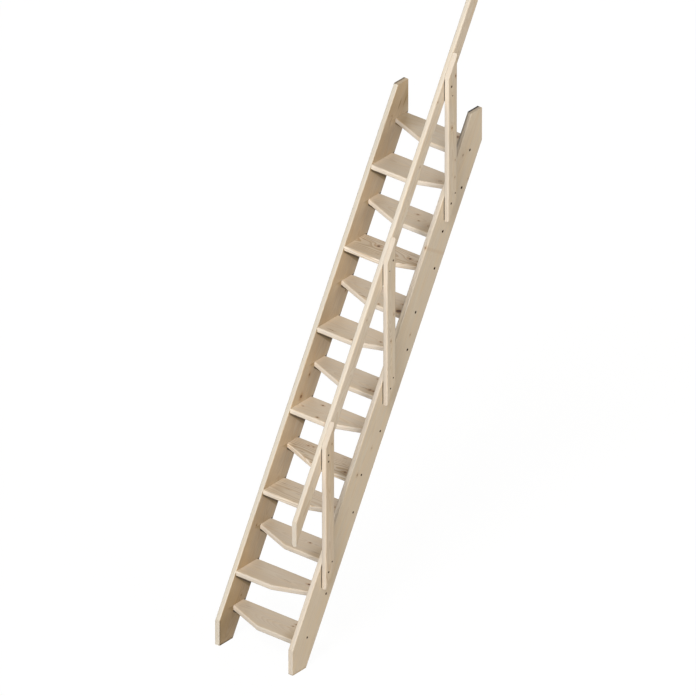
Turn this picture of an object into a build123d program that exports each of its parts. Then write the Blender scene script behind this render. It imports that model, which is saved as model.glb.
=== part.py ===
# Alternating-tread loft stair in planed softwood.
# Two flat stringers carry thirteen treads that are cut back on alternate sides, so that each
# foot has a deep step of its own on a steep pitch. Three posts on the outside of the right
# stringer carry one flat handrail, which runs straight above that stringer.
# Millimetres. +Z is up, +Y runs into the stair and +X is to the right for a person climbing it.
import os
from math import atan2, cos, degrees, sin, tan

from build123d import *

# The flight
FLOOR_TO_FLOOR = 3100.0
RISES = 14
GOING = 127.2
OVERALL_WIDTH = 597.0

# Stringers
BOARD = 34.0
STRINGER_DEPTH = 197.0
FOOT_LENGTH = 129.0
TOP_LENGTH = 98.0
STRINGER_TOP = FLOOR_TO_FLOOR - 6.0
STRINGER_ARRIS = 7.0

# Treads
TREAD_THICKNESS = 34.0
WIDE_DEPTH = 200.0
NARROW_DEPTH = 100.0
HOUSING_DEPTH = 10.0
NOSE_RADIUS = 10.0
BACK_RADIUS = 2.0

# Handrail and posts
RAIL_DEPTH = 85.0
RAIL_AHEAD = 457.0
RAIL_OVERHANG = 233.0
RAIL_ARRIS = 10.0
POST_WIDTH = 85.0
POST_ARRIS = 10.0
FIRST_POST_Y = 269.0
POST_SPACING = 574.5
POST_FOOT_INSET = 117.0

# Worked-out values
RISE = FLOOR_TO_FLOOR / RISES
PITCH = atan2(RISE, GOING)
SLOPE = tan(PITCH)
TREADS = RISES - 1
HALF = OVERALL_WIDTH / 2
INNER = HALF - BOARD
STRINGER_RUN = STRINGER_DEPTH / sin(PITCH)
RAIL_RUN = RAIL_DEPTH / sin(PITCH)
NOSE_HEIGHT = (STRINGER_RUN - FOOT_LENGTH) * SLOPE
BACK_Y = (STRINGER_TOP - NOSE_HEIGHT) / SLOPE + TOP_LENGTH
POST_FRONTS = [FIRST_POST_Y + i * POST_SPACING for i in range(3)]

# The row's origin is the middle of the left stringer's foot, at floor level.
TO_ORIGIN = Location((HALF - BOARD / 2, -FOOT_LENGTH / 2, 0))


def front_z(y):
    """Height of the stringers' front edge above the floor at the depth y."""
    return NOSE_HEIGHT + SLOPE * y


def back_z(y):
    """Height of the stringers' back edge at the depth y."""
    return SLOPE * (y - FOOT_LENGTH)


def rail_z(y):
    """Height of the handrail's front edge, which is parallel to the stringers."""
    return front_z(y + RAIL_AHEAD)


def board(outline, x_low, arris):
    """A board of the common thickness, cut to an outline in the Y-Z plane.

    Its four lengthwise arrises are rounded, and the saw cuts across the grain stay sharp.
    """
    face = make_face(Polyline(*outline, close=True))
    blank = extrude(Plane.YZ * face, BOARD).moved(Location((x_low, 0, 0)))
    flat_sides = blank.faces().filter_by(Axis.X)
    lengthwise = [e for side in flat_sides for e in side.edges().sort_by(SortBy.LENGTH)[-2:]]
    return fillet(lengthwise, arris)


def stringer_blank(x_low):
    """One side board: level foot, plumb front above it, plumb back and level top."""
    outline = [
        (0, 0),
        (FOOT_LENGTH, 0),
        (BACK_Y, back_z(BACK_Y)),
        (BACK_Y, STRINGER_TOP),
        (BACK_Y - TOP_LENGTH, STRINGER_TOP),
        (0, NOSE_HEIGHT),
    ]
    return board(outline, x_low, STRINGER_ARRIS)


def tread(number):
    """One tread: a straight back, full depth on one half and cut back to the other end."""
    top = number * RISE
    front = (top - NOSE_HEIGHT) / SLOPE
    back = front + WIDE_DEPTH
    narrow_front = back - NARROW_DEPTH
    end = INNER + HOUSING_DEPTH
    # The cut-back line runs on into the housing at the same slope.
    end_front = narrow_front + (narrow_front - front) * HOUSING_DEPTH / INNER
    wide_side = 1 if number % 2 else -1
    outline = [
        (wide_side * end, back),
        (wide_side * end, front),
        (0, front),
        (-wide_side * end, end_front),
        (-wide_side * end, back),
    ]
    slab = extrude(make_face(Polyline(*outline, close=True)), TREAD_THICKNESS)
    slab = slab.moved(Location((0, 0, top - TREAD_THICKNESS)))
    # From front to back the rim has two straight nose edges, two cut-back ones, four ends and the back.
    rim = slab.edges().filter_by(Axis.Z, reverse=True).sort_by(Axis.Y)
    slab = fillet(rim[:4], NOSE_RADIUS)
    back_edges = slab.edges().filter_by(Axis.X).sort_by(Axis.Y)[-2:]
    return fillet(back_edges, BACK_RADIUS)


def post(front):
    """One upright on the outside of the right stringer, both ends cut along the pitch."""
    back = front + POST_WIDTH
    foot_drop = POST_FOOT_INSET / cos(PITCH)
    outline = [
        (front, back_z(front) + foot_drop),
        (back, back_z(back) + foot_drop),
        (back, rail_z(back)),
        (front, rail_z(front)),
    ]
    return board(outline, HALF, POST_ARRIS)


def handrail():
    """The flat rail above the right stringer, plumb at both ends and as long past each outer post."""
    low = POST_FRONTS[0] - RAIL_OVERHANG
    high = POST_FRONTS[-1] + POST_WIDTH + RAIL_OVERHANG
    drop = RAIL_RUN * SLOPE
    outline = [
        (low, rail_z(low) - drop),
        (high, rail_z(high) - drop),
        (high, rail_z(high)),
        (low, rail_z(low)),
    ]
    return board(outline, INNER, RAIL_ARRIS)


def build():
    """Every sub-part by node name, in the row's frame."""
    treads = {f"tread_{n:02d}": tread(n) for n in range(1, TREADS + 1)}
    housed = list(treads.values())
    nodes = {
        "left_stringer": stringer_blank(-HALF) - housed,
        "right_stringer": stringer_blank(INNER) - housed,
        **treads,
        "handrail": handrail(),
    }
    for name, front in zip(("lower_post", "middle_post", "upper_post"), POST_FRONTS):
        nodes[name] = post(front)
    return {name: shape.moved(TO_ORIGIN) for name, shape in nodes.items()}


os.makedirs("parts", exist_ok=True)
for name, shape in build().items():
    export_step(shape, f"parts/{name}.step")
    box = shape.bounding_box()
    print(f"{name:16s} {shape.volume / 1e6:7.3f} l  {box.size.X:7.1f} x {box.size.Y:7.1f} x {box.size.Z:7.1f} mm")
print(f"rise {RISE:.1f}  going {GOING:.1f}  pitch {degrees(PITCH):.2f} degrees  back {BACK_Y:.1f}")
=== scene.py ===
# %% [markdown]
# A space-saving loft stair in planed softwood, dressed for a picture.
# The construction model comes in first as a fixed frame. Every board made below takes the place
# of one of its parts, in the same frame: metres, +Z up, +Y into the stair, +X to the climber's right.

# %% Load the frame
import random
from math import atan2, cos, degrees, pi, radians, sin, tan
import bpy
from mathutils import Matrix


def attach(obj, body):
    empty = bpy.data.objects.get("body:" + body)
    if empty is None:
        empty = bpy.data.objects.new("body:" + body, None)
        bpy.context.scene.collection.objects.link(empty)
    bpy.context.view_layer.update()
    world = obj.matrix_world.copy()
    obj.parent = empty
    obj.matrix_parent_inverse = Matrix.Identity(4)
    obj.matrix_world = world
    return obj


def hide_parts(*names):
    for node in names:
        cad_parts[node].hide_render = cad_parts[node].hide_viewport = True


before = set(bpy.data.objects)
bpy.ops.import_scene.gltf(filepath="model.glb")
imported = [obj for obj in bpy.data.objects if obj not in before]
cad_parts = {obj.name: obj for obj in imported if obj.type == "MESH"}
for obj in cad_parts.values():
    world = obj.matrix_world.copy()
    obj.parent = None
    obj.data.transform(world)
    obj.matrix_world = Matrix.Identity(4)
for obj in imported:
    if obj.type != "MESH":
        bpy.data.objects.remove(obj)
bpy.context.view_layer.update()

from types import SimpleNamespace

import bmesh
import bpy
from mathutils import Matrix, Vector

# %% [markdown]
# The stair's own sizes, in millimetres, measured from the middle of its width, the front of its
# feet and the floor. A steep stair is set out from its rise and going: the stringers' front edge
# passes through every tread's front arris, so one slope gives the place of nearly everything.

# %% Sizes of the stair
FLOOR_TO_FLOOR, RISES, GOING = 3100.0, 14, 127.2
RISE, TREADS = FLOOR_TO_FLOOR / RISES, RISES - 1
PITCH = atan2(RISE, GOING)
SLOPE = tan(PITCH)
HALF, BOARD = 298.5, 34.0
INNER = HALF - BOARD
DEPTH, FOOT, HEAD = 197.0, 129.0, 98.0
TOP = FLOOR_TO_FLOOR - 6.0
NOSE = (DEPTH / sin(PITCH) - FOOT) * SLOPE
BACK = (TOP - NOSE) / SLOPE + HEAD
POST_FRONTS = {"lower": 269.0, "middle": 843.5, "upper": 1418.0}
POST_WIDTH, POST_INSET = 85.0, 117.0
POST_RISE = POST_INSET / cos(PITCH)
RAIL_DEPTH, RAIL_AHEAD, RAIL_OVERHANG = 85.0, 457.0, 233.0
NOSE_ARRIS, BACK_ARRIS, STRINGER_ARRIS, POST_ARRIS, RAIL_ARRIS = 10.0, 2.0, 7.0, 10.0, 10.0
print(f"rise {RISE:.1f}, pitch {degrees(PITCH):.2f} degrees, back of the head {BACK:.1f}")

# %% [markdown]
# Most places follow from the slope, so they are functions of the depth into the stair. One more
# function changes the stair's millimetres into the frame's metres.

# %% Heights and places
def front_z(y):
    """Height of the stringers' front edge at the depth y."""
    return NOSE + SLOPE * y


def back_z(y):
    """Height of the stringers' back edge at the depth y."""
    return SLOPE * (y - FOOT)


def rail_z(y):
    """Height of the handrail's front edge at the depth y."""
    return front_z(y + RAIL_AHEAD)


def tread_front(number):
    """Depth of a tread's front edge on its wide half."""
    return (number * RISE - NOSE) / SLOPE


def place(x, y, z):
    """A point of the stair in the frame's metres; the origin is the middle of the left foot."""
    return Vector((x + HALF - BOARD / 2, y - FOOT / 2, z)) / 1000


print("front of the first and last tread", round(tread_front(1), 1), round(tread_front(TREADS), 1))

# %% [markdown]
# A stair this tall and slim is best photographed from far off with a very long lens, which keeps
# the stringers parallel. The camera stands to the right of the front and well above, and the
# target is the point that falls in the middle of the picture.

# %% Camera
AZIMUTH, ELEVATION = radians(39.2), radians(29.15)
PICTURE_WIDTH, DISTANCE = 4.1375, 158.0
TARGET = Vector((0.1440, 0.9895, 1.6200))


def direction(azimuth, elevation):
    """Unit vector from the stair, for angles to the right of the front and above the floor."""
    return Vector((sin(azimuth) * cos(elevation), -cos(azimuth) * cos(elevation), sin(elevation)))


TOWARDS_CAMERA = direction(AZIMUTH, ELEVATION)
lens = bpy.data.cameras.new("long_lens")
lens.sensor_width = 36
lens.lens = lens.sensor_width * DISTANCE / PICTURE_WIDTH
lens.clip_start, lens.clip_end = 1, 400
camera = bpy.data.objects.new("camera", lens)
camera.location = TARGET + TOWARDS_CAMERA * DISTANCE
camera.rotation_mode = "QUATERNION"
camera.rotation_quaternion = (-TOWARDS_CAMERA).to_track_quat("-Z", "Y")
bpy.context.scene.collection.objects.link(camera)
bpy.context.scene.camera = camera
print(f"lens {lens.lens:.0f} mm at {DISTANCE:.0f} m")

# %% [markdown]
# Planed boards look like real ones when their long arrises are rounded and their saw cuts are
# crisp. So each board is made as a joiner makes it: a long bar with a rounded section is planed
# first, and then it is sawn off by flat planes. A bevel on a finished block would round the saw
# cuts as much as the arrises, and at the slanting cuts it would give the wrong pointed tips.

# %% A planed bar
SIDEWAYS, INTO, UP = Vector((1, 0, 0)), Vector((0, 1, 0)), Vector((0, 0, 1))
ALONG_PITCH = Vector((0, cos(PITCH), sin(PITCH)))
ACROSS_PITCH = Vector((0, -sin(PITCH), cos(PITCH)))


def section(depth, arris, steps):
    """Corner points of a board's rounded section, anticlockwise, as (through, across)."""
    points = []
    for corner, (sx, sy) in enumerate(((1, 1), (-1, 1), (-1, -1), (1, -1))):
        for step in range(steps + 1):
            turn = (corner + step / steps) * pi / 2
            points.append((sx * (BOARD / 2 - arris) + arris * cos(turn),
                           sy * (depth / 2 - arris) + arris * sin(turn)))
    return points


def planed_bar(middle, along, across, depth, arris, steps, reach=2600):
    """An open bar with a rounded section, its middle at a point of the stair, in millimetres."""
    bar = bmesh.new()
    ends = []
    for end in (-reach, reach):
        ends.append([bar.verts.new(middle + along * end + SIDEWAYS * x + across * y)
                     for x, y in section(depth, arris, steps)])
    for i in range(len(ends[0])):
        bar.faces.new((ends[0][i - 1], ends[0][i], ends[1][i], ends[1][i - 1]))
    return bar


print("corners in a post's section", len(section(POST_WIDTH, POST_ARRIS, 7)))

# %% [markdown]
# Sawing is a bisect: everything outside the plane goes, and the open loop is filled by one flat
# face. A fresh saw cut is sharp but never razor sharp, so each one gets a hair of a chamfer,
# which also lets it catch a thin line of light.

# %% The saw
SAW_EDGE = 0.5


def saw(bar, point, outward):
    """Saws the bar off at a plane and closes the cut with one flat face."""
    parts = bar.verts[:] + bar.edges[:] + bar.faces[:]
    cut = bmesh.ops.bisect_plane(bar, geom=parts, dist=1e-5, plane_co=point, plane_no=outward,
                                 clear_outer=True)["geom_cut"]
    bmesh.ops.edgeloop_fill(bar, edges=[e for e in cut if isinstance(e, bmesh.types.BMEdge)])


def ease_saw_cuts(bar):
    """Takes the sharpness off every saw cut with one narrow chamfer."""
    bmesh.ops.remove_doubles(bar, verts=bar.verts[:], dist=1e-3)
    sharp = [e for e in bar.edges if len(e.link_faces) == 2 and e.calc_face_angle() > radians(28)]
    bmesh.ops.bevel(bar, geom=sharp, offset=SAW_EDGE, segments=1, affect="EDGES", clamp_overlap=True)


print("saw cuts are eased by", SAW_EDGE, "mm")

# %% [markdown]
# A finished board becomes a Blender object in metres. Smooth shading with sharp edges kept at
# the saw cuts, and normals weighted by face area, make the flat faces shade flat right up to the
# rounded arrises, which is how light runs over planed wood.

# %% From bmesh to a piece
pieces = {}


def smooth(piece):
    """Smooth arrises, flat faces and crisp saw cuts."""
    piece.data.polygons.foreach_set("use_smooth", [True] * len(piece.data.polygons))
    piece.data.set_sharp_from_angle(angle=radians(27))
    weighted = piece.modifiers.new("flat faces stay flat", "WEIGHTED_NORMAL")
    weighted.keep_sharp = True


def finished(name, solid, node=None):
    """Turns a bmesh in the stair's millimetres into a piece on the frame."""
    bmesh.ops.recalc_face_normals(solid, faces=solid.faces[:])
    bmesh.ops.transform(solid, matrix=Matrix.Scale(0.001, 4), verts=solid.verts[:])
    bmesh.ops.translate(solid, vec=place(0, 0, 0), verts=solid.verts[:])
    mesh = bpy.data.meshes.new(name)
    solid.to_mesh(mesh)
    solid.free()
    piece = bpy.data.objects.new(name, mesh)
    bpy.context.scene.collection.objects.link(piece)
    if node:
        smooth(piece)
        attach(piece, "root")
        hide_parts(node)
        pieces[node] = piece
    return piece


print("the stair's zero point in the frame", [round(x, 4) for x in place(0, 0, 0)])

# %% [markdown]
# The thirteen treads are what makes this stair steep and still comfortable: each is a full
# 200 mm deep on one half and is cut back along a straight line to 100 mm at the other end, and
# the wide half changes sides at every step. The outline is drawn once and mirrored. The nose has
# a small rounding, which here is a bevel with several segments along the front edges only.

# %% Treads
TREAD, WIDE, NARROW, HOUSED = 34.0, 200.0, 100.0, 10.0


def tread_board(number, grow=0.0):
    """One tread as a bmesh; grow makes it larger all round, to cut its own housing."""
    top, front = number * RISE, tread_front(number)
    back = front + WIDE
    end = INNER + HOUSED + grow
    # The slanting front runs on into the housing, so its far end lies past the narrow depth.
    end_front = front + (WIDE - NARROW) * (INNER + HOUSED) / INNER
    side = 1 if number % 2 else -1
    outline = [(side * end, back + grow), (side * end, front - grow), (0, front - grow),
               (-side * end, end_front - grow), (-side * end, back + grow)]
    solid = bmesh.new()
    low, high = top - TREAD - grow, top + grow
    lower = [solid.verts.new((x, y, low)) for x, y in outline]
    upper = [solid.verts.new((x, y, high)) for x, y in outline]
    solid.faces.new(lower)
    solid.faces.new(upper)
    for i in range(len(outline)):
        solid.faces.new((lower[i - 1], lower[i], upper[i], upper[i - 1]))

    def level_edges():
        return [e for e in solid.edges if e.verts[0].co.z == e.verts[1].co.z]

    # Noses run from side to side and lie well before the back.
    noses = [e for e in level_edges() if abs(e.verts[0].co.x - e.verts[1].co.x) > 9
             and max(v.co.y for v in e.verts) < back - 9]
    bmesh.ops.bevel(solid, geom=noses, offset=NOSE_ARRIS, segments=7, profile=0.5, affect="EDGES")
    backs = [e for e in level_edges() if min(v.co.y for v in e.verts) > back - 0.01]
    bmesh.ops.bevel(solid, geom=backs, offset=BACK_ARRIS, segments=4, profile=0.5, affect="EDGES")
    return solid


for number in range(1, TREADS + 1):
    finished(f"tread_board_{number:02d}", tread_board(number), f"tread_{number:02d}")
print("treads", len(pieces), "faces in the first", len(pieces["tread_01"].data.polygons))

# %% [markdown]
# The treads are screwed through the stringers, one screw to a tread end. The heads are sunk, so
# what shows is a round dark hole with the steel at its bottom. One list of places is used twice:
# to bore the holes and to fit the screws. Their sizes differ a little, as the dark dots do in the
# picture. The lower post's foot covers the third tread's place on the right, so none is there.

# %% Places of the screws
TREAD_SCREW_RADII = (7.6, 7.6, 7.2, 7.6, 7.4, 7.9, 7.2, 8.2, 8.7, 8.9, 9.0, 9.2, 8.4)
HIGH_TREADS, SCREW_BELOW, HIGH_SCREW_BELOW = 10, 20.0, 24.0
SCREW_BEHIND, SUNK_IN_STRINGER, SUNK_IN_POST = 8.0, 0.9, 0.7
UNDER_THE_POST = (3, 1)

tread_screws = []
for number, radius in enumerate(TREAD_SCREW_RADII, 1):
    below = HIGH_SCREW_BELOW if number > HIGH_TREADS else SCREW_BELOW
    for side in (1, -1):
        if (number, side) == UNDER_THE_POST:
            continue
        wide_here = (number % 2 == 1) == (side == 1)
        y = tread_front(number) + SCREW_BEHIND + (WIDE / 2 if wide_here else WIDE - NARROW / 2)
        tread_screws.append((Vector((side * HALF, y, number * RISE - below)), side, radius, SUNK_IN_STRINGER))
print("screws in the treads", len(tread_screws))

# %% [markdown]
# The post screws are listed one by one. At the foot each is given by its post, its distance behind the
# front, its height over the screw line and its radius; at the rail by depth, height and radius.

# %% Places of the post screws
SCREW_LINE = 145.0 / cos(PITCH)
POST_FEET = (("lower", 28.0, 6.0, 6.8), ("lower", 61.0, 6.0, 6.0), ("middle", 34.0, -8.0, 6.0),
             ("middle", 61.0, 7.0, 5.2), ("upper", 28.0, 13.0, 7.0), ("upper", 66.0, 2.0, 5.2))
POST_TOPS = ((297.0, 1386.0, 6.4), (297.0, 1342.0, 6.4), (903.0, 2444.0, 6.4),
             (870.0, 2386.0, 4.2), (1448.0, 3384.0, 7.3), (1458.0, 3319.0, 4.4))

places = list(POST_TOPS)
for name, behind, rise, radius in POST_FEET:
    y = POST_FRONTS[name] + behind
    places.append((y, back_z(y) + rise + SCREW_LINE, radius))
post_screws = [(Vector((HALF + BOARD, y, z)), 1, radius, SUNK_IN_POST) for y, z, radius in places]
print("screws in the posts", len(post_screws))

# %% [markdown]
# Holes and housings are cut with the exact Boolean, because it leaves clean walls that the light
# can fall into. All the cutters of a board are joined first, so each board is cut only once.

# %% Boring and housing
def lathe(target, centre, side, profile, steps=28):
    """Adds a turned solid to a bmesh: profile is (depth into the wood, radius) from the face inwards."""
    rings = []
    for depth, radius in profile:
        rings.append([target.verts.new(centre + Vector((-side * depth, radius * cos(i * 2 * pi / steps),
                                                        radius * sin(i * 2 * pi / steps))))
                      for i in range(steps)])
    for a, b in zip(rings, rings[1:]):
        for i in range(steps):
            target.faces.new((a[i - 1], a[i], b[i], b[i - 1]))
    target.faces.new(rings[0])
    target.faces.new(rings[-1])


def bore(target, screws):
    """Adds one stepped and tapered hole for each screw to a bmesh of cutters."""
    for centre, side, radius, sunk in screws:
        lathe(target, centre, side, [(-1.5, radius + 0.25), (sunk + 0.2, radius + 0.15),
                                     (sunk + 3.4, radius * 0.55), (sunk + 6.0, radius * 0.5)])


def cut(piece, cutters):
    """Cuts a bmesh of joined cutters out of a piece and keeps the result as its mesh."""
    tool = finished("cutters", cutters)
    piece.modifiers.clear()
    boolean = piece.modifiers.new("cut", "BOOLEAN")
    boolean.operation, boolean.solver, boolean.object = "DIFFERENCE", "EXACT", tool
    graph = bpy.context.evaluated_depsgraph_get()
    result = bpy.data.meshes.new_from_object(piece.evaluated_get(graph), depsgraph=graph)
    piece.modifiers.clear()
    piece.data = result
    bpy.data.objects.remove(tool)
    smooth(piece)


print("holes reach", SUNK_IN_STRINGER + 6.0, "mm into a stringer")

# %% [markdown]
# The two stringers are flat boards with six-sided ends: a level foot, a plumb front above it, a
# plumb back and a level cut at the head. Four saw cuts of a long bar give exactly that. The
# treads' ends stand in shallow housings, a hair larger than the tread so that the joint shows as
# the fine line that a real one has.

# %% Stringers
HOUSING_GAP = 0.3


def stringer_middle(side):
    """A point on the middle line of a stringer, level with the foot of its front edge."""
    return Vector((side * (HALF - BOARD / 2), 0, NOSE)) - ACROSS_PITCH * DEPTH / 2


def stringer(name, side):
    """One side board with its housings and screw holes."""
    bar = planed_bar(stringer_middle(side), ALONG_PITCH, ACROSS_PITCH, DEPTH, STRINGER_ARRIS,
                     steps=6, reach=4200)
    for point, outward in (((0, 0, 0), -UP), ((0, 0, 0), -INTO), ((0, BACK, 0), INTO), ((0, 0, TOP), UP)):
        saw(bar, Vector(point), outward)
    ease_saw_cuts(bar)
    piece = finished(f"{name}_board", bar, name)
    cutters = bmesh.new()
    for number in range(1, TREADS + 1):
        one = tread_board(number, grow=HOUSING_GAP)
        mesh = bpy.data.meshes.new("one")
        one.to_mesh(mesh)
        one.free()
        cutters.from_mesh(mesh)
        bpy.data.meshes.remove(mesh)
    bore(cutters, [s for s in tread_screws if s[1] == side])
    cut(piece, cutters)
    return piece


for name, side in (("left_stringer", -1), ("right_stringer", 1)):
    piece = stringer(name, side)
    print(name, "faces", len(piece.data.polygons), "box", [round(x, 3) for x in piece.dimensions])

# %% [markdown]
# Each post stands on the outside of the right stringer. Both of its ends are sawn along the
# pitch, so that the top lines up with the front of the handrail and the foot lines up with the
# stringer.

# %% Posts
for name, front in POST_FRONTS.items():
    middle = Vector((HALF + BOARD / 2, front + POST_WIDTH / 2, rail_z(front) - 400))
    bar = planed_bar(middle, UP, -INTO, POST_WIDTH, POST_ARRIS, steps=7)
    saw(bar, Vector((0, front, rail_z(front))), ACROSS_PITCH)
    saw(bar, Vector((0, front, back_z(front) + POST_RISE)), -ACROSS_PITCH)
    ease_saw_cuts(bar)
    piece = finished(f"{name}_post_board", bar, f"{name}_post")
    cutters = bmesh.new()
    bore(cutters, [s for s in post_screws if front < s[0].y < front + POST_WIDTH])
    cut(piece, cutters)
    print(name, "post, length", round(piece.dimensions.z, 3), "faces", len(piece.data.polygons))

# %% [markdown]
# The handrail is the same kind of bar, turned to the pitch and sawn plumb at both ends. It runs
# on the inner faces of the posts, straight above the stringer.

# %% Handrail
middle = Vector((INNER + BOARD / 2, 800, rail_z(800))) - ACROSS_PITCH * RAIL_DEPTH / 2
bar = planed_bar(middle, ALONG_PITCH, ACROSS_PITCH, RAIL_DEPTH, RAIL_ARRIS, steps=7)
saw(bar, Vector((0, POST_FRONTS["lower"] - RAIL_OVERHANG, 0)), -INTO)
saw(bar, Vector((0, POST_FRONTS["upper"] + POST_WIDTH + RAIL_OVERHANG, 0)), INTO)
ease_saw_cuts(bar)
piece = finished("handrail_board", bar, "handrail")
print("handrail", [round(x, 3) for x in piece.dimensions])

# %% [markdown]
# A countersunk screw has a flat head with a tapered cross pressed into it and a cone below. So
# a head is a ring around a sunk cross, with a smaller ring as the cone's end. Every screw is
# turned differently, because nobody lines up their crosses.

# %% Screw heads
CROSS_ARM, CROSS_HALF, CROSS_DEPTH = 0.62, 0.15, 0.34


def screw_head(target, centre, side, radius, sunk):
    """Adds one countersunk head with a cross recess to a bmesh."""
    arm, half = radius * CROSS_ARM, radius * CROSS_HALF
    cross = [(half, arm), (half, half), (arm, half), (arm, -half), (half, -half), (half, -arm),
             (-half, -arm), (-half, -half), (-arm, -half), (-arm, half), (-half, half), (-half, arm)]
    turn = (centre.y * 0.37 + centre.z * 0.11) % (pi / 2)

    def ring(points, depth, scale=1.0):
        return [target.verts.new(centre + Vector((
            -side * depth, scale * (a * cos(turn) - b * sin(turn)), scale * (a * sin(turn) + b * cos(turn)))))
            for a, b in points]

    circle = [(cos(i * pi / 12), sin(i * pi / 12)) for i in range(24)]
    rim = ring(circle, sunk, radius * 0.93)
    shoulder = ring(circle, sunk + 0.35, radius)
    neck = ring(circle, sunk + radius * 0.62, radius * 0.5)
    edge = ring(cross, sunk)
    floor = ring(cross, sunk + radius * CROSS_DEPTH, 0.55)
    for a, b in ((rim, shoulder), (shoulder, neck), (edge, floor)):
        for i in range(len(a)):
            target.faces.new((a[i - 1], a[i], b[i], b[i - 1]))
    target.faces.new(floor)
    loops = [target.edges.get((a[i - 1], a[i])) for a in (rim, edge) for i in range(len(a))]
    bmesh.ops.triangle_fill(target, edges=loops, use_beauty=True)


SCREWS = {"right_tread_screws": ([s for s in tread_screws if s[1] == 1], "stringer_wood"),
          "left_tread_screws": ([s for s in tread_screws if s[1] == -1], "stringer_wood"),
          "post_screws": (post_screws, "rail_wood")}
for name, (screws, slot) in SCREWS.items():
    heads = bmesh.new()
    for screw in screws:
        screw_head(heads, *screw)
    piece = finished(name, heads)
    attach(piece, "root")
    pieces[name] = piece
    print(name, len(screws), "heads,", len(piece.data.polygons), "faces")

# %% [markdown]
# Materials are written as sums. A Line is one value or colour on its way through a material's
# nodes: adding or multiplying two Lines adds a Math node, and the node method makes any other.
# Colours go through Mix nodes and directions through Vector Math, since a Math node is for
# single numbers only.

# %% Sums that make nodes
class Line:
    """One socket of a material; its operators add Math nodes."""

    def __init__(self, tree, socket=None):
        self.tree, self.socket = tree, socket

    def node(self, kind, settings=None, inputs=None, output=0):
        """Any node: its settings are set first, then the values or links of its sockets."""
        made = self.tree.nodes.new(kind)
        for key, value in (settings or {}).items():
            setattr(made, key, value)
        for key, value in (inputs or {}).items():
            if isinstance(value, Line):
                self.tree.links.new(value.socket, made.inputs[key])
            else:
                made.inputs[key].default_value = value
        return Line(self.tree, made.outputs[output] if made.outputs else None)

    def math(self, operation, *values):
        """A Math node on the given values, or on this value alone."""
        return self.node("ShaderNodeMath", {"operation": operation}, dict(enumerate(values or (self,))))

    def __add__(self, other): return self.math("ADD", self, other)
    def __sub__(self, other): return self.math("SUBTRACT", self, other)
    def __rsub__(self, other): return self.math("SUBTRACT", other, self)
    def __mul__(self, other): return self.math("MULTIPLY", self, other)
    def __truediv__(self, other): return self.math("DIVIDE", self, other)
    def __pow__(self, other): return self.math("POWER", self, other)
    def __gt__(self, other): return self.math("GREATER_THAN", self, other)
    def __lt__(self, other): return self.math("LESS_THAN", self, other)
    __radd__, __rmul__ = __add__, __mul__

    def dot(self, direction):
        """How far this vector goes in a fixed direction."""
        return self.node("ShaderNodeVectorMath", {"operation": "DOT_PRODUCT"},
                         {0: self, 1: direction}, "Value")

    def ease(self, low, high, start=0.0, end=1.0):
        """A soft step from start to end as the value goes from low to high."""
        return self.node("ShaderNodeMapRange", {"interpolation_type": "SMOOTHSTEP"},
                         {0: self, 1: low, 2: high, 3: start, 4: end})

    def between(self, first, second):
        """This value, from 0 to 1, as a colour between two fixed ones."""
        return self.node("ShaderNodeMix", {"data_type": "RGBA"},
                         {0: self, 6: (*first, 1), 7: (*second, 1)}, 2)

    def blend(self, colour, amount, how="MIX"):
        """This colour going over to another one by an amount from 0 to 1."""
        other = colour if isinstance(colour, Line) else (*colour, 1)
        return self.node("ShaderNodeMix", {"data_type": "RGBA", "blend_type": how},
                         {0: amount, 6: self, 7: other}, 2)

    def filtered(self, colour):
        """This colour multiplied by another one."""
        return self.blend(colour, 1.0, "MULTIPLY")

    def tint(self, amount):
        """This colour multiplied by a value, which makes it lighter or darker."""
        return self.filtered(self.node("ShaderNodeCombineColor", {}, {0: amount, 1: amount, 2: amount}))


def fresh_nodes(owner):
    """Empties the nodes of a material or a world and gives the Line to start from."""
    owner.use_nodes = True
    owner.node_tree.nodes.clear()
    return Line(owner.node_tree)


print("a Line knows", sum(callable(value) for value in vars(Line).values()), "operations")

# %% [markdown]
# Wood is a solid pattern, not a skin, so it is worked out in each board's own directions: u along
# the grain, v across the board and w through it, all in millimetres. The same directions tell
# what part of the surface a point is on: end grain, a narrow edge or a rounded arris. Rounded
# arrises get a painted highlight on the side turned to the light and painted shade on the others.

# %% Directions of a board
# Arrises turned to this side, which is nearly the camera's, get a painted highlight; the others get painted
# shade.
LIT_SIDE = Vector((0.55, -0.68, 0.49))
FRONT_OF_FEET, FLOOR_LEVEL = place(0, 0, 0), Vector((0, 0, 0))


def whereabouts(line, board):
    """Where a point is on its board and how the surface lies there, as Lines."""
    spot = line.node("ShaderNodeTexCoord", {}, {}, "Object")
    normal = line.node("ShaderNodeNewGeometry", {}, {}, "Normal")
    at = SimpleNamespace()
    at.measured = lambda way, start: (spot.dot(way) - start.dot(way)) * 1000
    at.u, at.v, at.w = (at.measured(board[axis], board["middle"]) for axis in ("along", "across", "through"))
    at.end_grain = normal.dot(board["along"]).math("ABSOLUTE").ease(0.35, 0.95)
    at.facing = normal.dot(board["through"])
    steep = at.facing.math("ABSOLUTE")
    at.narrow = steep.ease(0.5, 1.0, 1.0, 0.0) * (1 - at.end_grain)
    # Strongest halfway round an arris; the extra 0.0001 keeps the root above zero.
    at.arris = steep * (1.0001 - steep * steep) ** 0.5 * 2
    # How far the surface turns to the lit side, which sets the painted highlight on arrises.
    at.lit = normal.dot(LIT_SIDE).ease(0.1, 0.75)
    return at


def height_of(at):
    """Height above the floor."""
    return at.measured(UP, FLOOR_LEVEL)


def depth_of(at):
    """Depth behind the front of the feet."""
    return at.measured(INTO, FRONT_OF_FEET)


print("lit side", [round(x, 2) for x in LIT_SIDE])

# %% [markdown]
# A tree's rings are cylinders around its pith, and sawing through them gives straight streaks,
# arched figures or end grain, depending on the cut. The pith line leans a little and wanders,
# which is what draws the arches on a flat-sawn tread.

# %% Growth rings
PITH_WANDER, RING_WAVE = (34, 26), 7


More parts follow.
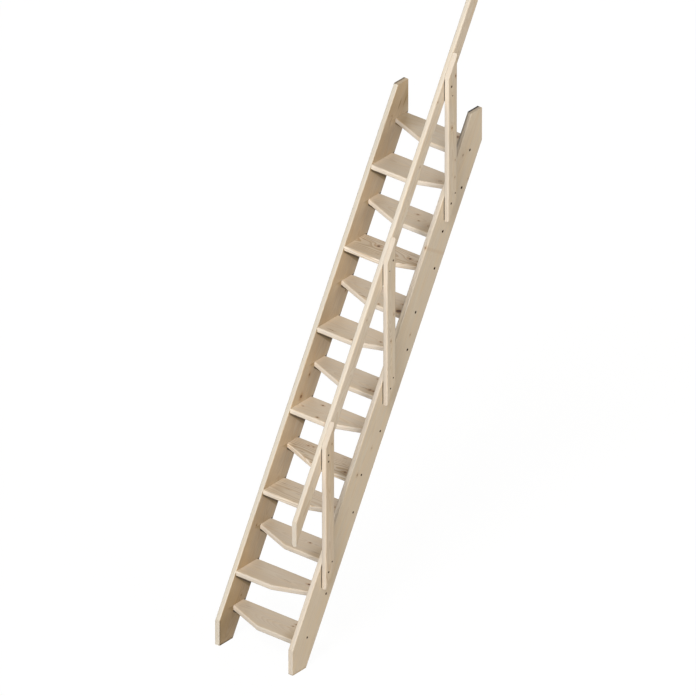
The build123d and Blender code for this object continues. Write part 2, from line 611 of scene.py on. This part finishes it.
def clouds(u, v, w, seed, detail=2.0):
    """Smooth noise about zero in stretched board directions; v and w may be plain numbers."""
    where = u.node("ShaderNodeCombineXYZ", {}, {0: u + seed, 1: v + seed * 0.7, 2: w - seed * 1.3})
    return u.node("ShaderNodeTexNoise", {}, {"Vector": where, "Scale": 1.0, "Detail": detail}) - 0.5


def pith_distance(at, board):
    """Distance from the tree's pith, in millimetres, with the wander of a real log."""
    seed, pith, lean = board["seed"], board["pith"], board["lean"]
    away_v = at.v - pith[0] - at.u * lean[0] + clouds(at.u * 0.0021, 0, 0, seed, 1) * PITH_WANDER[0]
    away_w = at.w - pith[1] - at.u * lean[1] + clouds(at.u * 0.0026, 0, 0, seed + 9, 1) * PITH_WANDER[1]
    wave = clouds(at.u * 0.006, at.v * 0.02, at.w * 0.02, seed + 5) * RING_WAVE
    return (away_v * away_v + away_w * away_w) ** 0.5 + wave


print("the pith wanders by up to", PITH_WANDER, "mm")

# %% [markdown]
# A knot is the foot of a branch, so it is a rod through the board. The rings bulge around it, its
# wood is darker and redder, and a dead branch has a nearly black rim of bark. Three kinds are
# enough here: knots that come out on the broad faces, knots that come out on an edge, and thin
# brown streaks, which are pitch pockets or branches cut along their length.
# Each is written as (place along, place across, size, kind, darkness); above 1 it is a dead one.

# %% Knots
BULGE_REACH, BULGE_PUSH = 2.4, 1.5
BRANCH_SLANT, STREAK_STRETCH = 0.22, 0.13


def knot_distances(at, knot):
    """(distance from the branch's middle, the same stretched along the grain)."""
    along, across, size, kind, _ = knot
    if kind == "edge":
        du, ds = at.u - along - at.v * 0.05, at.w - across
    elif kind == "streak":
        du = (at.u - along) * STREAK_STRETCH
        ds = at.v - across + clouds(at.u * 0.025, 0, 0, along * 0.07, 1) * size * 4
    else:
        du, ds = at.u - along - at.w * BRANCH_SLANT, at.v - across - at.w * 0.12
    ragged = clouds(at.u * 0.09, at.v * 0.09, at.w * 0.09, along * 0.01) * size * 0.55
    near = (du * du * 0.9 + ds * ds) ** 0.5 + ragged
    stretched = (du * du * 0.28 + ds * ds) ** 0.5
    return near, stretched


def bulge(stretched, size):
    """How far the rings are pushed aside near a knot."""
    reach = stretched / (size * BULGE_REACH)
    return (reach * reach * -1).math("EXPONENT") * size * BULGE_PUSH


print("rings bulge over", BULGE_REACH, "times the size of a knot")

# %% [markdown]
# The figure is the pattern that the rings draw. Each ring is pale early wood that darkens slowly
# into late wood and stops sharply, and some years are stronger than others. The number of a ring
# picks its strength, so one ring keeps it from one end of the board to the other.

# %% Figure
LATE_STARTS, LATE_FULL, LATE_ENDS = 0.35, 0.86, 0.93


def figure_of(at, board, knots):
    """(late wood, honey streaks): how dark each ring is, and slow streaks that follow the rings."""
    radius = pith_distance(at, board)
    for (_, _, size, kind, _), _, stretched in knots:
        if kind != "streak":
            radius = radius + bulge(stretched, size)
    rings = radius / board["ring"]
    inside, year = rings.math("FRACT"), rings.math("FLOOR")
    strength = clouds(year * 0.83, 0, 0, board["seed"], 0) * 1.3 + 0.75
    late = inside.ease(LATE_STARTS, LATE_FULL) * inside.ease(LATE_ENDS, 1.0, 1.0, 0.0) * strength
    return late, clouds(at.u * 0.0012, rings * 0.13, 0, board["seed"] + 3)


print("late wood fills", round(LATE_ENDS - LATE_STARTS, 2), "of a ring")

# %% [markdown]
# The colours are those of raw planed spruce: pale straw in the early wood and a light tan in the
# late wood of each ring. Honey-coloured streaks follow the rings, other parts are paler, and
# long stains are a little yellower. Knots have a brown heart, a dark rim and a warm glow round
# them, which is where the grain turns and soaks up more.

# %% Colours of spruce
EARLY, LATE = (0.690, 0.590, 0.468), (0.515, 0.385, 0.250)
HONEY, PALE, YELLOWED = (0.600, 0.455, 0.298), (0.725, 0.640, 0.515), (1.035, 1.0, 0.93)
KNOT_HEART, KNOT_RIM, KNOT_GLOW = (0.26, 0.135, 0.060), (0.120, 0.055, 0.020), (0.50, 0.31, 0.155)
STREAK = (0.36, 0.225, 0.115)


def clear_wood(at, board, late, honey):
    """The colour of wood without knots."""
    drift = clouds(at.u * 0.0035, at.v * 0.02, at.w * 0.02, board["seed"] + 17)
    figure = late * board["figure"]
    colour = figure.math("MAXIMUM", figure, 0.0).between(EARLY, LATE)
    colour = colour.blend(HONEY, honey.ease(0.02, 0.30, 0.0, 0.55))
    return colour.blend(PALE, drift.ease(0.0, 0.30, 0.0, 0.5))


def knotted(colour, knots):
    """The same colour with its knots and brown streaks."""
    for (_, _, size, kind, strength), near, stretched in knots:
        dark = min(strength, 1.0)
        if kind == "streak":
            colour = colour.blend(STREAK, near.ease(size * 0.2, size * 1.3, dark, 0.0))
            continue
        heart = KNOT_RIM if strength > 1 else KNOT_HEART
        rim = near.ease(size * 0.55, size * 0.85) * near.ease(size * 0.95, size * 1.2, 1.0, 0.0)
        colour = colour.blend(KNOT_GLOW, stretched.ease(size * 0.6, size * 2.6, 0.75 * dark, 0.0))
        colour = colour.blend(heart, near.ease(size * 0.75, size * 1.05, 0.95 * dark, 0.0))
        colour = colour.blend(KNOT_RIM, rim * 0.8 * dark)
    return colour


print("late wood against early wood", [round(b / a, 2) for a, b in zip(EARLY, LATE)])

# %% [markdown]
# One function makes the spruce of one board. On top of the colours come fine fibres along the
# grain, darker end grain, painted highlights and shade on the arrises, and the painted shade, painted
# light and marks that belong to this board's place in the stair. Painted shade is browner, not only
# darker, and narrow edges get a cooler tint as painted light. The relief is tiny, late wood and
# fibres only, and the surface is nearly matt, as a plane leaves it.

# %% The wood of one board
# NARROW_TINT is painted light: the cooler colour of brightly lit narrow edges. WARM_SHADE colours the painted
# shade.
NARROW_TINT, WARM_SHADE, NEARLY_BLACK = (1.0, 1.03, 1.09), (1.06, 0.93, 0.70), (0.022, 0.016, 0.012)
FIBRE, FLECK, END_GRAIN_DARK, ARRIS_HIGHLIGHT, ARRIS_SHADE = 0.16, 0.10, 0.16, 0.38, 0.36


def wood(name, board):
    """A spruce material for one board, worked out in that board's own directions."""
    material = bpy.data.materials.new(name)
    line = fresh_nodes(material)
    at = whereabouts(line, board)
    knots = [(knot, *knot_distances(at, knot)) for knot in board["knots"]]
    late, honey = figure_of(at, board, knots)
    fibre = clouds(at.u * 0.03, at.v * 1.1, at.w * 1.1, board["seed"], 3)
    fleck = clouds(at.u * 0.012, at.v * 0.33, at.w * 0.33, board["seed"] + 31)
    stain = clouds(at.u * 0.0045, at.v * 0.05, at.w * 0.2, board["seed"] + 53)

    colour = knotted(clear_wood(at, board, late, honey), knots)
    colour = colour.blend(colour.filtered(YELLOWED), stain.ease(-0.12, 0.22))
    colour = colour.filtered(board["tone"]).blend(colour.filtered(board["edge_tone"]), at.narrow)
    value = (fibre * FIBRE + fleck * FLECK) * board.get("grain", 1.0) + 1.0
    value = value * (1 - at.end_grain * END_GRAIN_DARK)
    # Painted highlight on arrises turned to the lit side, painted shade on the others.
    value = value * (1 + at.arris * (at.lit * (ARRIS_HIGHLIGHT + board.get("crisp", 0.0)) - ARRIS_SHADE))
    # Painted shade and painted light from the board's place in the stair, browner where darker; the marks add
    # painted groove shade and dark lines.
    shaded = board["shade"](at)
    warmth = (1 - shaded) * (1 - at.narrow) * 2.2
    colour = colour.blend(colour.filtered(WARM_SHADE), warmth).tint(value * shaded)
    for mask in board["marks"](at) if "marks" in board else ():
        colour = colour.blend(NEARLY_BLACK, mask)

    relief = line.node("ShaderNodeBump", {}, {"Strength": 0.35, "Distance": 0.0004,
                                              "Height": fibre * 1.2 + late * 0.5 + fleck * 0.6})
    surface = line.node("ShaderNodeBsdfPrincipled", {}, {
        "Base Color": colour, "Roughness": 0.56 + at.end_grain * 0.2 + fibre * 0.12 - late * 0.06,
        "Specular IOR Level": 0.32, "Normal": relief})
    line.node("ShaderNodeOutputMaterial", {}, {"Surface": surface})
    return material


print("end grain keeps", 1 - END_GRAIN_DARK, "of the colour's light")

# %% [markdown]
# Two dark lines can't come from the lamps alone. Where a post's rounded arris meets the board
# behind it, there is a narrow groove that hardly any light enters, so the strip of board inside
# it gets painted shade. Both heads have a dark line along the left edge of their level cut, and
# the right head has painted shade on its front edge below that cut.

# %% Painted groove shade and dark head lines
GROOVE_WIDTH, GROOVE_SHADE, CORNERS = 12.4, 0.85, (-0.4, POST_WIDTH - 12.0)


def post_groove_shade(at):
    """Painted shade in the grooves beside all three posts, as a list with one mask."""
    depth, height = depth_of(at), height_of(at)
    near = 0
    for front in POST_FRONTS.values():
        for corner in (front + behind for behind in CORNERS):
            near = near + (depth > corner) * (depth < corner + GROOVE_WIDTH) \
                * (height < rail_z(corner) + 2) * (height > back_z(corner) + POST_RISE + 6)
    return [(at.w > BOARD / 2 - 0.5) * near * GROOVE_SHADE]


def head_lines(on_head, on_front):
    """Dark lines at a stringer's head: how dark the line on the level cut, and how dark the painted shade on
    the front edge below it.
    """
    def masks(at):
        from_left, height = at.w + BOARD / 2, height_of(at)
        return [(height > TOP - 1.2) * from_left.ease(10.0, 16.0, on_head, 0.0),
                (at.v > DEPTH / 2 - 8.0) * height.ease(TOP - 420, TOP - 260)
                * from_left.ease(6.0, 20.0, on_front, 0.0)]
    return masks


print("a groove is", GROOVE_WIDTH, "mm wide")

# %% [markdown]
# Every board has slow changes of tone that are painted shade and painted light: shadows that other
# boards cast, shade in corners and under edges, and light that fades towards the floor, which soft
# lamps wash out. Each is a function that gives 1 for wood as it came and less where it is darker.
# Smooth steps between two distances do it, because the changes follow the boards' edges. Treads have
# painted shade beside the right stringer, at the back and under the nose, and painted light at their left
# end.

# %% Shade on the treads
EDGE_SLANTS = {4: (1.09, 0.79), 5: (0.97, 1.20)}


def tread_shade(number):
    """The painted shade and light of one tread; the front edges of two of them also change from left to
    right.
    """
    left, right = EDGE_SLANTS.get(number, (1.0, 1.0))

    def shade(at):
        # Painted shade at the right end beside the stringer, at the back and under the nose; painted light at
        # the left end.
        tone = at.u.ease(160, 240, 1.0, 0.80) * at.u.ease(-262, -215, 1.12, 1.0)
        tone = tone * at.v.ease(86, 98, 1.0, 0.86) * at.w.ease(-17, -11, 0.91, 1.0)
        if number == TREADS:
            tone = tone * at.u.ease(-210, -60, 0.72, 1.0) * at.u.ease(90, 150, 1.0, 0.95)
        if left != right:
            tone = tone * (1 + at.narrow * (at.u.ease(-120, 120, left, right) - 1))
        return tone

    return shade


print("treads with a slanting tone in front", list(EDGE_SLANTS))

# %% [markdown]
# The inner side of the left stringer is painted as the most shaded wood of the stair. It is darker
# in front, near the floor and at its head, and under each tread lie three painted shadows: a soft
# one, a crisp one and a dark line of contact. The treads come in two kinds, deep or cut back on the
# left, and repeat every two rises, so two rounds of one loop draw them all.

# %% Shade on the left stringer
TREADS_TOP = TREADS * RISE
# (height of the kind's first top, set-back of its front, soft, crisp and contact darkness)
TREAD_KINDS = ((0.0, 0.0, 0.42, 0.30, 0.42), (RISE, WIDE - NARROW, 0.26, 0.50, 0.75))


def under_treads(height, depth):
    """Three painted shadows under the treads that end in the left stringer."""
    treaded = (height < TREADS_TOP) * height.ease(2700, 2790, 1.0, 0.5)
    tone = 1
    for first, set_back, soft, crisp, contact in TREAD_KINDS:
        below = ((first - height) / (2 * RISE)).math("FRACT") * (2 * RISE)
        behind = depth - (height + below - NOSE) / SLOPE - set_back
        tone = tone * (1 - (TREAD - below + behind * 0.83).ease(-20, 12) * treaded * soft) \
            * (1 - (TREAD - below + behind * 0.98).ease(-7, 3) * treaded * (below > TREAD - 3) * crisp) \
            * (1 - (TREAD - below + behind * 0.72).ease(-13, -5) * treaded * (behind > 0) * contact)
    return tone


def left_shade(at):
    """Painted shade on the left stringer's inner side, and its front edge, which is paler towards the stair.
    """
    height, depth = height_of(at), depth_of(at)
    # Painted shade: darker in front, near the floor, at the head, and along the foot's edges and the back.
    tone = (0.98 - at.v * 0.0011) * height.ease(-100, 1000, 0.66, 1.0) * height.ease(2890, 2960, 1.0, 0.88)
    tone = tone * (1 - height.ease(0, 330, 1.0, 0.0) * at.v.ease(-70, 70, -0.10, 0.24))
    tone = tone * (1 - height.ease(2880, 2990) * at.v.ease(-30, 30, 0.22, 0.0)) * under_treads(height, depth)
    tone = tone * height.ease(2, 15, 0.35, 1.0) * depth.ease(2, 13, 0.5, 1.0) * at.v.ease(-98, -86, 0.62, 1.0)
    inner_side, edge = at.facing.ease(0.6, 0.98), at.w.ease(-17, -2, 0.91, 1.03)
    return (1 - inner_side * (1 - tone)) * (1 + at.narrow * (edge - 1))


print("top of the last tread", round(TREADS_TOP, 1))

# %% [markdown]
# The right stringer has painted shade towards the floor, at its foot and along its back, and its
# front edge is painted paler where the lower and middle posts cast their shadow on it. The handrail
# is darker at its low end, and the posts' front edges have painted light towards the rail.

# %% Shade on the other boards
def right_shade(at):
    """Painted shade and painted light on the right stringer."""
    height, depth = height_of(at), depth_of(at)
    # Behind the lower and middle posts the front edge gets painted shade at its inner arris and painted light
    # across the rest.
    across = at.w.ease(-17, -6, 0.70, 1.30) * at.w.ease(4, 14, 1.0, 0.78)
    fade = 0
    for front in (POST_FRONTS["lower"], POST_FRONTS["middle"]):
        fade = fade + (depth - front).ease(80, 120) * (depth - front).ease(240, 430, 1.0, 0.0)
    beside = fade * at.v.ease(DEPTH / 2 - 9, DEPTH / 2 - 6)
    return (height * 0.00003 + 0.93) * at.v.ease(-98, -86, 0.78, 1.0) * height.ease(2, 12, 0.65, 1.0) \
        * (1 + beside * (across - 1))


def rail_shade(at):
    """The handrail, darker at its low end."""
    return 1 - depth_of(at).ease(60, 280, 1.0, 0.0) * (0.17 - at.narrow * 0.12)


def post_shade(at):
    """Painted light on the posts' front edges, by their height over the line of the feet."""
    over_line = at.measured(Vector((0, -SLOPE, 1)), FRONT_OF_FEET)
    return 1 + at.narrow * (over_line.ease(rail_z(0) - 330, rail_z(0) - 60, 0.94, 1.09) - 1)


print("posts are palest", round(rail_z(0) - 60), "mm over the line of the feet")

# %% [markdown]
# Every board came from its own place in its own tree, so each gets its own pith, lean and ring
# width, drawn by seeded chance. The tones, knots and streaks that can be seen in the picture are
# set where they are. Three treads have a bolder figure than the rest, with wider rings.

# %% Tones and knots of the treads
TREAD_TONES = (0.99, 0.97, 0.99, 0.99, 0.99, 1.03, 0.99, 1.03, 0.99, 0.96, 0.96, 0.95, 0.83)
# The edge tones carry painted shade and light: the front edges of the lower treads are darker, those higher
# up paler.
EDGE_TONES = (0.90, 0.90, 0.89, 0.93, 1.07, 0.99, 1.0, 1.01, 0.98, 1.12, 1.04, 1.03, 0.98)
FIGURES = {4: 0.75, 5: 1.7, 10: 1.3}
PLAIN_FIGURE, BOLD_RINGS = 0.35, 1.8
TREAD_KNOTS = {
    1: [(-185, 49, 3, "streak", 0.5), (165, 5, 3, "streak", 0.6), (166, 30, 5, "flat", 0.7),
        (172, 57, 6, "flat", 0.9)],
    2: [(168, 50, 7, "flat", 1.3), (31, 5, 3, "streak", 0.5), (61, 1, 3, "streak", 0.5)],
    3: [(103, 13, 5, "flat", 1.2), (208, -55, 4, "streak", 0.6)],
    4: [(-220, 42, 3, "streak", 0.7), (-156, 4, 3.5, "streak", 0.7), (-128, 50, 3, "streak", 0.6),
        (-71, -5, 3, "streak", 0.6), (192, 9, 5, "flat", 0.6)],
    5: [(-225, 16, 3, "streak", 0.9), (-137, -23, 4, "streak", 0.9), (-86, -39, 3, "streak", 0.8),
        (-152, 55, 6, "flat", 0.7), (-118, 61, 5, "flat", 0.7), (119, 72, 3, "streak", 0.8),
        (160, 16, 3, "streak", 0.7), (220, -57, 8, "flat", 0.8)],
    6: [(-232, -25, 4, "flat", 0.7), (-143, 54, 5.5, "flat", 1.1), (-79, -78, 5, "flat", 1.1),
        (3, -95, 4, "flat", 1.0)],
    7: [(203, -57, 9, "flat", 0.8), (172, -59, 5, "streak", 0.7), (230, -56, 6, "flat", 0.9),
        (156, 75, 4, "flat", 0.8)],
    8: [(-181, -67, 5, "streak", 0.8), (-18, -85, 4, "flat", 1.0), (135, 2, 5, "flat", 0.9)],
    9: [(-43, -64, 5, "streak", 0.9), (-87, -44, 3, "streak", 0.7), (83, -83, 5, "flat", 0.8),
        (231, -76, 15, "flat", 1.3), (205, 3, 7, "flat", 0.7)],
    10: [(-230, 45, 3, "streak", 0.8), (-174, 44, 3, "streak", 0.8), (-112, 30, 9, "flat", 1.2),
         (-101, 49, 4, "streak", 0.9), (-51, -46, 3, "streak", 0.7), (132, 27, 8, "flat", 1.3),
         (118, 70, 5, "streak", 0.5), (191, 29, 7, "flat", 0.6)],
    11: [(77, 39, 7, "flat", 0.6), (130, -17, 4, "flat", 1.2), (220, -29, 14, "flat", 0.25)],
    12: [(173, 2, 12, "flat", 0.25)], 13: [(166, 53, 10, "flat", 1.0)]}
print("knots and streaks on the treads", sum(map(len, TREAD_KNOTS.values())))

# %% [markdown]
# A board's wood is a small table: its directions, the place of its pith, the width of its rings,
# its tones and its functions. The grain of a tread runs from side to side, for strength.

# %% The wood of the treads
chance = random.Random(41)
boards = {}
for number in range(1, TREADS + 1):
    boards[f"tread_{number:02d}"] = {
        "middle": place(0, tread_front(number) + WIDE / 2, number * RISE - TREAD / 2),
        "along": SIDEWAYS, "across": INTO, "through": UP,
        "pith": (chance.uniform(-35, 35), chance.uniform(-95, -45)),
        "lean": (chance.uniform(-0.03, 0.03), chance.uniform(-0.06, 0.06)),
        "ring": chance.uniform(3.8, 5.6) * (BOLD_RINGS if number in FIGURES else 1),
        "tone": (TREAD_TONES[number - 1],) * 3,
        # crisp adds to the painted highlight on the treads' arrises.
        "edge_tone": tuple(x * EDGE_TONES[number - 1] for x in NARROW_TINT), "crisp": 0.05,
        "seed": number * 7.3, "knots": TREAD_KNOTS[number], "figure": FIGURES.get(number, PLAIN_FIGURE),
        "shade": tread_shade(number)}
print("ring widths", [round(board["ring"], 1) for board in boards.values()])

# %% [markdown]
# Long boards are sawn closer to the middle of the tree, with straight fine grain. The left
# stringer's grain shows more than the right one's. Knots are placed by their distance up the
# slope from the floor, which is easy to measure on a straight stringer.

# %% The wood of the stringers
START = NOSE * sin(PITCH)
PITCHED = {"along": ALONG_PITCH, "across": ACROSS_PITCH, "through": SIDEWAYS}


def up_the_slope(*knots):
    """Knots that are placed by their distance up the slope from the floor."""
    return [(along - START, *rest) for along, *rest in knots]


left_head, right_head = head_lines(0.65, 0.0), head_lines(1.0, 0.60)
boards["left_stringer"] = {
    **PITCHED, "middle": place(*stringer_middle(-1)),
    "pith": (-20, -75), "lean": (0.004, 0.006), "ring": 3.6, "figure": 0.45, "grain": 1.5, "seed": 3.0,
    "tone": (1.0, 0.95, 0.88), "edge_tone": (0.925, 0.995, 1.07), "shade": left_shade, "marks": left_head,
    "knots": up_the_slope(
        (1705, 16, 6, "flat", 0.8), (1566, 27, 9, "flat", 0.9), (2242, -66, 5, "flat", 0.6),
        (754, 44, 5, "flat", 0.6), (323, -36, 5, "flat", 0.5), (3326, 53, 3, "flat", 0.6),
        (3410, 16, 5, "streak", 0.85), (3298, 48, 6, "streak", 0.55), (3440, -28, 5, "streak", 0.7))}
boards["right_stringer"] = {
    **PITCHED, "middle": place(*stringer_middle(1)),
    "pith": (20, 75), "lean": (0.004, 0.006), "ring": 5.0, "figure": 0.20, "grain": 0.55, "seed": 11.0,
    "tone": (1.02, 1.02, 1.02), "edge_tone": (1.01, 1.045, 1.11), "shade": right_shade,
    "marks": lambda at: right_head(at) + post_groove_shade(at),
    "knots": up_the_slope(
        (2143, -27, 5, "flat", 0.5), (3261, 44, 7, "flat", 0.4), (3130, -86, 5, "flat", 0.4),
        (2669, 8, 5, "edge", 0.8), (1255, 35, 6, "flat", 0.6), (1430, -20, 6, "flat", 0.3))}
print("knots on the stringers", [len(boards[f"{side}_stringer"]["knots"]) for side in ("left", "right")])

# %% [markdown]
# The rail and the posts have close rings, and the posts are told apart by their tones; the lower
# post's darker one is painted shade, as the light fades towards the floor. When all the tables
# are complete, one loop gives every piece its own material.

# %% The wood of the handrail and the posts
rail_middle = Vector((INNER + BOARD / 2, 0, rail_z(0))) - ACROSS_PITCH * RAIL_DEPTH / 2
boards["handrail"] = {
    **PITCHED, "middle": place(*rail_middle),
    "pith": (-12, -60), "lean": (0.003, -0.004), "ring": 2.7, "figure": 0.45, "seed": 23.0,
    "tone": (1.07, 1.08, 1.11), "edge_tone": (1.035, 1.095, 1.17), "shade": rail_shade, "marks": post_groove_shade,
    "knots": [(2700, 26, 4, "flat", 0.6), (2300, -12, 4, "flat", 0.5), (1340, 9, 4, "flat", 0.4)]}
POST_LOOKS = {  # tone, tone of the narrow edges, knots with their heights above the floor
    "lower": ((0.93, 0.90, 0.87), NARROW_TINT, [(1445, -19, 5, "flat", 0.6)]),
    "middle": ((1.01, 1.01, 1.01), NARROW_TINT, [(1903, 3, 5, "flat", 0.6), (2074, -24, 5, "flat", 0.5)]),
    "upper": ((1.01, 1.01, 1.01), (1.05, 1.09, 1.16),
              [(3101, 6, 6, "flat", 0.7), (3438, -27, 5, "flat", 1.1), (2873, -24, 4, "flat", 0.5),
               (2757, -22, 4, "flat", 0.7)])}
for name, (tone, edge_tone, knots) in POST_LOOKS.items():
    front = POST_FRONTS[name]
    boards[f"{name}_post"] = {
        "middle": place(HALF + BOARD / 2, front + POST_WIDTH / 2, 0), "along": UP, "across": -INTO,
        "through": SIDEWAYS, "pith": (chance.uniform(-20, 20), chance.uniform(-70, -50)),
        "lean": (0.003, 0.004), "ring": chance.uniform(2.6, 3.2), "figure": 0.45, "seed": front * 0.02,
        "tone": tone, "edge_tone": edge_tone, "shade": post_shade, "knots": knots}

for node, board in boards.items():
    pieces[node].data.materials.clear()
    pieces[node].data.materials.append(wood(f"{node}_spruce", board))
print("boards with their own wood", len(boards))

# %% [markdown]
# The screws are hardened steel with a thin brown-black coat, which hides the metal. So the
# finish is a matt dark brown with slight mottling, not a metallic one, and in the shade of its
# hole each screw is a dark dot.

# %% Screw steel
steel = bpy.data.materials.new("dark_screw_steel")
line = fresh_nodes(steel)
spot = line.node("ShaderNodeTexCoord", {}, {}, "Object")
mottle = line.node("ShaderNodeTexNoise", {}, {"Vector": spot, "Scale": 900.0, "Detail": 2.0})
surface = line.node("ShaderNodeBsdfPrincipled", {}, {
    "Base Color": mottle.between((0.026, 0.008, 0.001), (0.045, 0.015, 0.003)), "Metallic": 0.0,
    "Roughness": mottle * 0.3 + 0.55, "Specular IOR Level": 0.02})
line.node("ShaderNodeOutputMaterial", {}, {"Surface": surface})
for name in SCREWS:
    pieces[name].data.materials.append(steel)
print("pieces with screw steel", len(SCREWS))

# %% [markdown]
# The picture has a pure white ground with hardly any shadow. So the floor bounces light like a
# real pale one, and only for the camera is most of it a plain white glow; the rest keeps the
# stair's soft shadow. Without that, a white floor would need more light, and then the pale wood
# would burn out.

# %% Floor
GLOW_SHARE, GLOW, FLOOR_GREY, FLOOR_REACH = 0.9, 1.07, 0.55, 14


def seen_directly(line):
    """1 for the camera's view, also in a mirror or through glass, and 0 for bouncing light."""
    looks = ("Is Camera Ray", "Is Glossy Ray", "Is Transmission Ray")
    direct, mirrored, through_glass = (line.node("ShaderNodeLightPath", {}, {}, look) for look in looks)
    seen = direct + mirrored + through_glass
    return seen.math("MINIMUM", seen, 1.0)


grid = bmesh.new()
bmesh.ops.create_grid(grid, x_segments=2, y_segments=2, size=FLOOR_REACH)
floor_mesh = bpy.data.meshes.new("studio_floor")
grid.to_mesh(floor_mesh)
grid.free()
floor = bpy.data.objects.new("studio_floor", floor_mesh)
floor.location = (0.2, 3.0, 0)
bpy.context.scene.collection.objects.link(floor)

pale = bpy.data.materials.new("pale_floor")
line = fresh_nodes(pale)
glow = line.node("ShaderNodeEmission", {}, {"Color": (1, 1, 1, 1), "Strength": GLOW})
lit = line.node("ShaderNodeBsdfDiffuse", {}, {"Color": (FLOOR_GREY, FLOOR_GREY, FLOOR_GREY, 1)})
mixed = line.node("ShaderNodeMixShader", {}, {0: seen_directly(line) * GLOW_SHARE, 1: lit, 2: glow})
line.node("ShaderNodeOutputMaterial", {}, {"Surface": mixed})
floor_mesh.materials.append(pale)
print("floor", [round(x) for x in floor.dimensions], "m")

# %% [markdown]
# The light is four soft lamps and a weak surround. One lamp stands high and nearly in front and
# gives the treads their light; a low one in front lights the rounded noses and edges, and a low,
# slightly warm one at the right lights the outer faces. A weak lamp behind keeps the back of the
# stair readable. Wide lamps make the soft shadows of a large studio window.

# %% Lamps
LAMPS = {  # azimuth, elevation, strength, width in degrees, colour
    "high_soft_lamp": (15, 50, 1.34, 20, (1, 1, 1)), "low_front_lamp": (6.5, 8, 1.57, 24, (0.97, 1, 1.06)),
    "low_side_lamp": (86, 10, 0.90, 24, (1.03, 1, 0.93)), "rear_lamp": (215, 25, 0.4, 30, (1, 1, 1))}

for name, (azimuth, elevation, strength, width, colour) in LAMPS.items():
    light = bpy.data.lights.new(name, "SUN")
    light.energy, light.angle, light.color = strength, radians(width), colour
    lamp = bpy.data.objects.new(name, light)
    lamp.rotation_mode = "QUATERNION"
    lamp.rotation_quaternion = direction(radians(azimuth), radians(elevation)).to_track_quat("Z", "Y")
    bpy.context.scene.collection.objects.link(lamp)
print("lamps", len(LAMPS))

# %% [markdown]
# The surround is a weak warm grey, as the walls of a studio send it back, and plain white where
# the camera looks at it.

# %% World
SURROUND = (0.265, 0.244, 0.212)

world = bpy.data.worlds.new("studio")
line = fresh_nodes(world)
sky = line.node("ShaderNodeBackground", {}, {
    "Color": seen_directly(line).between(SURROUND, (1, 1, 1)), "Strength": 1.0})
line.node("ShaderNodeOutputWorld", {}, {"Surface": sky})
bpy.context.scene.world = world
bpy.context.scene.view_settings.view_transform = "Standard"
print("surround", SURROUND)

# %% [markdown]
